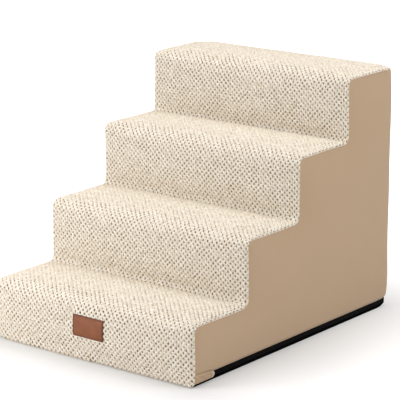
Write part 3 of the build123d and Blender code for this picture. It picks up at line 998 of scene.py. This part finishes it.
def garage_patch(side):
    """One garage patch, wrinkled as soft cloth that is held at its seams. Side is 1 right and -1 left."""
    patch, flat = cloth_grid(110, 64)
    ahead, up = flat[:, 0], flat[:, 1] * (1 + patch_turned) - patch_turned
    up_share = np.maximum(up, 0)
    y = patch_start + ahead * (mouth_y(up_share) - binding_width / 2 - patch_start)
    top = np.interp(y, [patch_start, mouth_end - mouth_depth], [patch_high.z, mouth_top])
    z = patch_foot + up_share * (top - patch_foot)
    turned = np.maximum(-up, 0) / patch_turned
    puff = np.sin(np.pi * np.clip(up_share, 0, 1)) ** 0.8
    puff = puff * np.sin(np.pi * np.clip(ahead * 0.9 + 0.05, 0, 1)) ** 0.5
    wrinkle = 0.5 * np.sin(math.tau * (2.6 * ahead + 1.1 * up_share + 0.25 * side))
    wrinkle += 0.45 * np.sin(math.tau * (1.2 * ahead - 2.1 * up_share + 0.4))
    wrinkle += 0.3 * np.sin(math.tau * (4.7 * ahead + 2.3 * up_share * (1 + ahead)))
    out = patch_out + puff * (0.0011 + 0.0012 * wrinkle)
    fold = np.exp(-(((up_share - 0.80 + 0.10 * ahead) / 0.05) ** 2))
    out += 0.0006 * fold * np.sin(np.pi * np.clip(ahead, 0, 1))
    out -= 0.0011 * np.exp(-(((1 - up_share) / 0.05) ** 1.5))
    out -= (patch_out - lip_out) * turned**1.2
    out -= 0.0030 * np.exp(-((ahead / 0.05) ** 2))
    place_points(patch.data, np.stack([side * (core_half + out), y, z], axis=1))
    set_uv(patch, np.stack([y, z - turned * 0.005], axis=1))
    if side < 0:
        patch.data.flip_normals()
    thicken(patch, patch_thickness)
    patch.data.shade_smooth()
    return patch


def mouth_binding(side):
    """The folded tape round a garage's mouth."""
    binding, flat = cloth_grid(64, 16)
    share, turn = flat[:, 0], flat[:, 1] * math.tau
    bulge = 1 + 0.05 * np.sin(share * 44)
    taper = np.clip(np.minimum(share, 1 - share) / 0.03, 0.05, 1) ** 0.5
    y = mouth_y(share) - binding_width / 2 + binding_width / 2 * np.cos(turn) * bulge * taper
    z = patch_foot + 0.0006 + share * (mouth_top - patch_foot - 0.0008)
    out = patch_out - 0.0002 + binding_height / 2 * np.sin(turn) * bulge * taper
    place_points(binding.data, np.stack([side * (core_half + out), y, z], axis=1))
    set_uv(binding, np.stack([share * 0.02, flat[:, 1] * 0.008], axis=1))
    close_tube(binding)
    face_outwards(binding)
    return binding


# Cotton bias tape, matte and pale, with fine diagonal ribs about 0.6 mm apart.
binding_finish = finish("pale cotton bias tape", 0.85, Sheen_Weight=0.2, Specular_IOR_Level=0.25)
twill = add(binding_finish, "TexWave", {"Scale": 520.0, "Distortion": 0.6}, bands_direction="DIAGONAL")
tint = add(binding_finish, "Mix", {0: twill, 6: "#DDCFC4", 7: "#EADFD6"})
paint(binding_finish, tint, (twill, 0.4, 0.0002))

for side, word in ((1, "right"), (-1, "left")):
    dress(garage_patch(side), f"garage_patch_{word}", garage_finish, f"zip_garage_{word}")
    dress(mouth_binding(side), f"mouth_binding_{word}", binding_finish, f"garage_hem_{word}")

# ----------------------------------------
# Label. A die-cut patch of brown leather, sewn on the front riser with thick thread near its edge. The
# thread draws the leather down a little, and the cut edge is burnished dark.

label_low, label_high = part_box("label_patch")
label_middle = (label_low + label_high) / 2
label_width, label_height = label_high.x - label_low.x, label_high.z - label_low.z
label_thickness, label_round = 0.0016, 0.002
seam_inset, groove_width = 0.003, 0.0008
riser_skin = riser_skin[np.abs(riser_skin[:, 0]) < label_width]
riser_tree = tree_of(riser_skin * [1, 0, 1])


def riser_surface(x, z):
    """Depth of the stuffed riser's face, without its pits, behind a point of the label."""
    return near_value(riser_tree, riser_skin[:, 1], (x, 0, z), 6, 0.001)


leather, flat = cloth_grid(114, 63)
flat = (flat - 0.5) * [label_width, label_height, 1]
past = np.abs(flat[:, :2]) - (np.array([label_width, label_height]) / 2 - label_round)
a, b = np.clip(past / label_round, 0, 1).T
rounded = a * np.sqrt(1 - b * b / 2), b * np.sqrt(1 - a * a / 2)
edge_gap = np.minimum(label_width / 2 - np.abs(flat[:, 0]), label_height / 2 - np.abs(flat[:, 1]))
places = np.empty_like(flat)
for axis, half in ((0, label_width / 2), (1, label_height / 2)):
    inside = np.minimum(np.abs(flat[:, axis]), half - label_round)
    places[:, axis] = np.sign(flat[:, axis]) * (inside + rounded[axis] * label_round)
x, z = label_middle.x + places[:, 0], label_middle.z + places[:, 1]
face_y = np.array([riser_surface(px, pz) for px, pz in zip(x, z)])
groove = np.exp(-(((edge_gap - seam_inset) / groove_width) ** 2))
turned_edge = np.exp(-((edge_gap / groove_width) ** 1.5))
stuffed = np.clip(edge_gap / 0.01, 0, 1)
rise_out = label_thickness - 0.00035 * groove - 0.0005 * turned_edge + 0.0006 * stuffed
place_points(leather.data, np.stack([x, face_y - rise_out, z], axis=1))
set_uv(leather, flat[:, :2])
face_outwards(leather)
if leather.data.polygons[0].normal.y > 0:
    leather.data.flip_normals()
thicken(leather, label_thickness)
leather.data.shade_smooth()
edge_layer = leather.data.attributes.new("edge", "FLOAT", "POINT")
from_middle = np.abs(points_of(leather.data) - label_middle)[:, ::2]
millimetres_in = (np.array([label_width, label_height]) / 2 - from_middle).min(axis=1) * 1000
edge_layer.data.foreach_set("value", millimetres_in.astype(np.float32))

# Full-grain leather, dyed brown and lightly waxed: pebbled grain of about 1.5 mm, darker at the burnished
# edge, with a soft satin gloss.
leather_finish = finish("waxed brown leather", 0.6, Specular_IOR_Level=0.25)
pebbles = add(leather_finish, "TexVoronoi", {"Scale": 700.0}, feature="DISTANCE_TO_EDGE")
cloud = add(leather_finish, "TexNoise", {"Scale": 45.0, "Detail": 5.0, "Roughness": 0.65})
edge_value = add(leather_finish, "Attribute", attribute_name="edge").outputs["Fac"]
hide = add(leather_finish, "Mix", {0: cloud, 6: "#955A3A", 7: "#6E4029"})
burnish = add(leather_finish, "MapRange", (edge_value, 0.2, 2.4, 1, 0), interpolation_type="SMOOTHSTEP")
tint = add(leather_finish, "Mix", {0: burnish, 6: hide, 7: "#57301C"})
gloss = add(leather_finish, "MapRange", (cloud, 0, 1, 0.45, 0.65))
paint(leather_finish, tint, (pebbles, 0.35, 0.0005), gloss=gloss)
dress(leather, "leather_label", leather_finish, "label_patch")

# One stitch, copied round the label: its thread dips into the leather at both ends.
thread_pitch, thread_length, thread_width = 0.004, 0.0033, 0.0009
run_x, run_z = label_width - 2 * seam_inset, label_height - 2 * seam_inset
seats = []
for run, upright in ((run_x, False), (run_z, True)):
    count = int(run / thread_pitch)
    for number in range(count):
        shift = (number - (count - 1) / 2) * run / count
        for end in (-1, 1):
            seats.append((end * run_x / 2, shift, math.pi / 2) if upright else (shift, end * run_z / 2, 0))
stitches = []
for x, z, turn in seats:
    x, z = label_middle.x + x, label_middle.z + z
    level = riser_surface(x, z) - label_thickness
    stitch = primitive(
        "uv_sphere", segments=10, ring_count=8, radius=0.5, location=(x, level - 0.0001, z),
        rotation=(0, -turn, 0), scale=(thread_length, thread_width * 1.2, thread_width),
    )
    stitches.append(stitch)
seam = join(stitches[::-1])
seam.data.shade_smooth()

# Bonded polyester thread of about 0.9 mm, twisted, dark brown with a slight gloss.
thread_finish = finish("bonded brown thread", 0.5, Specular_IOR_Level=0.4)
twist = add(thread_finish, "TexWave", {"Scale": 600.0}, bands_direction="DIAGONAL")
paint(thread_finish, add(thread_finish, "Mix", {0: twist, 6: "#4A2817", 7: "#6B4028"}))
dress(seam, "label_seam", thread_finish, "label_stitches")

# ----------------------------------------
# Studio: a white floor, a white surround for the camera, and large soft lamps.


def seen_by_eye(material):
    """1 for rays from the camera, a mirror or glass, and 0 for the light that falls on the stair."""
    ray = add(material, "LightPath").outputs
    mirrored = (ray["Is Glossy Ray"], ray["Is Transmission Ray"])
    mirrored = add(material, "Math", mirrored, operation="MAXIMUM")
    return add(material, "Math", (ray["Is Camera Ray"], mirrored), operation="MAXIMUM")


world = bpy.data.worlds.new("studio")
scene.world = world
world.use_nodes = True
white, black = (1, 1, 1, 1), (0, 0, 0, 1)
surround = world.node_tree.nodes["Background"]
surround.inputs[0].default_value, surround.inputs[1].default_value = white, 0.47
seen = add(world, "Background", (white, 1.0))
choose = add(world, "MixShader", (seen_by_eye(world), surround, seen))
link(world, choose, world.node_tree.nodes["World Output"].inputs[0])

# Matte white paper. For the eye it glows more and more away from the stair's foot, up to plain white, and a
# little more towards the back. The glow is painted light, which lightens the stair's shadow.
floor = primitive("plane", size=12)
floor.name = "studio_floor"
paper = finish("matte white paper", 0.9, Specular_IOR_Level=0.1)
eye = seen_by_eye(paper)
paint(paper, add(paper, "Mix", {0: eye, 6: "#DAD8D6", 7: "#CDCCCB"}))
place = add(paper, "TexCoord").outputs["Object"]
gap = add(paper, "VectorMath", (place,), operation="ABSOLUTE")
gap = add(paper, "VectorMath", (gap, (cover_half, rear_face, 0)), operation="SUBTRACT")
gap = add(paper, "VectorMath", (gap, (0, 0, 0)), operation="MAXIMUM")
gap = add(paper, "VectorMath", (gap,), operation="LENGTH")
sweep = add(paper, "MapRange", (gap, 0, 0.7, 0.17, 1.1))
depth_place = add(paper, "SeparateXYZ", (place,)).outputs[1]
# Painted light: extra glow towards the back, which lightens the shadow at the stair's rear corner.
rear_glow = add(paper, "MapRange", (depth_place, -0.1, 0.4, 0, 0.12), interpolation_type="SMOOTHSTEP")
brightness = add(paper, "Math", (sweep, rear_glow), operation="ADD")
glow = add(paper, "Emission", (white, brightness))
nothing = add(paper, "Emission", (black, 0))
glow = add(paper, "MixShader", (eye, nothing, glow))
both = add(paper, "AddShader", (paper.node_tree.nodes["Principled BSDF"], glow))
link(paper, both, paper.node_tree.nodes["Material Output"].inputs[0])
coat(floor, paper)

stair_middle = Vector((0, 0, 0.25))
for name, place, size, power in (
    ("key_lamp", (-0.85, -1.5, 0.6), 0.8, 15.5),
    ("top_lamp", (-0.2, -0.1, 2.4), 2.0, 24),
    ("right_lamp", (2.9, 0.2, 1.1), 1.8, 21),
    ("high_right_lamp", (1.6, 0.6, 1.9), 1.0, 12),
):
    bpy.ops.object.light_add(type="AREA", location=place)
    lamp = bpy.context.object
    lamp.name = name
    lamp.data.size, lamp.data.energy = size, power
    lamp.rotation_euler = (stair_middle - Vector(place)).to_track_quat("-Z", "Y").to_euler()

# Camera: it stands to the right of the front, a little above the stair, with a long lens.
azimuth, elevation, distance = math.radians(38.13), math.radians(14.57), 3.3
aim = Vector((0.44347, -0.5565, 0.43586))
level_part = math.cos(elevation)
offset = Vector((math.sin(azimuth) * level_part, -math.cos(azimuth) * level_part, math.sin(elevation)))
bpy.ops.object.camera_add(location=aim + offset * distance)
camera = bpy.context.object
camera.rotation_euler = (-offset).to_track_quat("-Z", "Y").to_euler()
camera.data.sensor_width, camera.data.lens = 36, 183.34
scene.camera = camera
scene.view_settings.view_transform = "Standard"
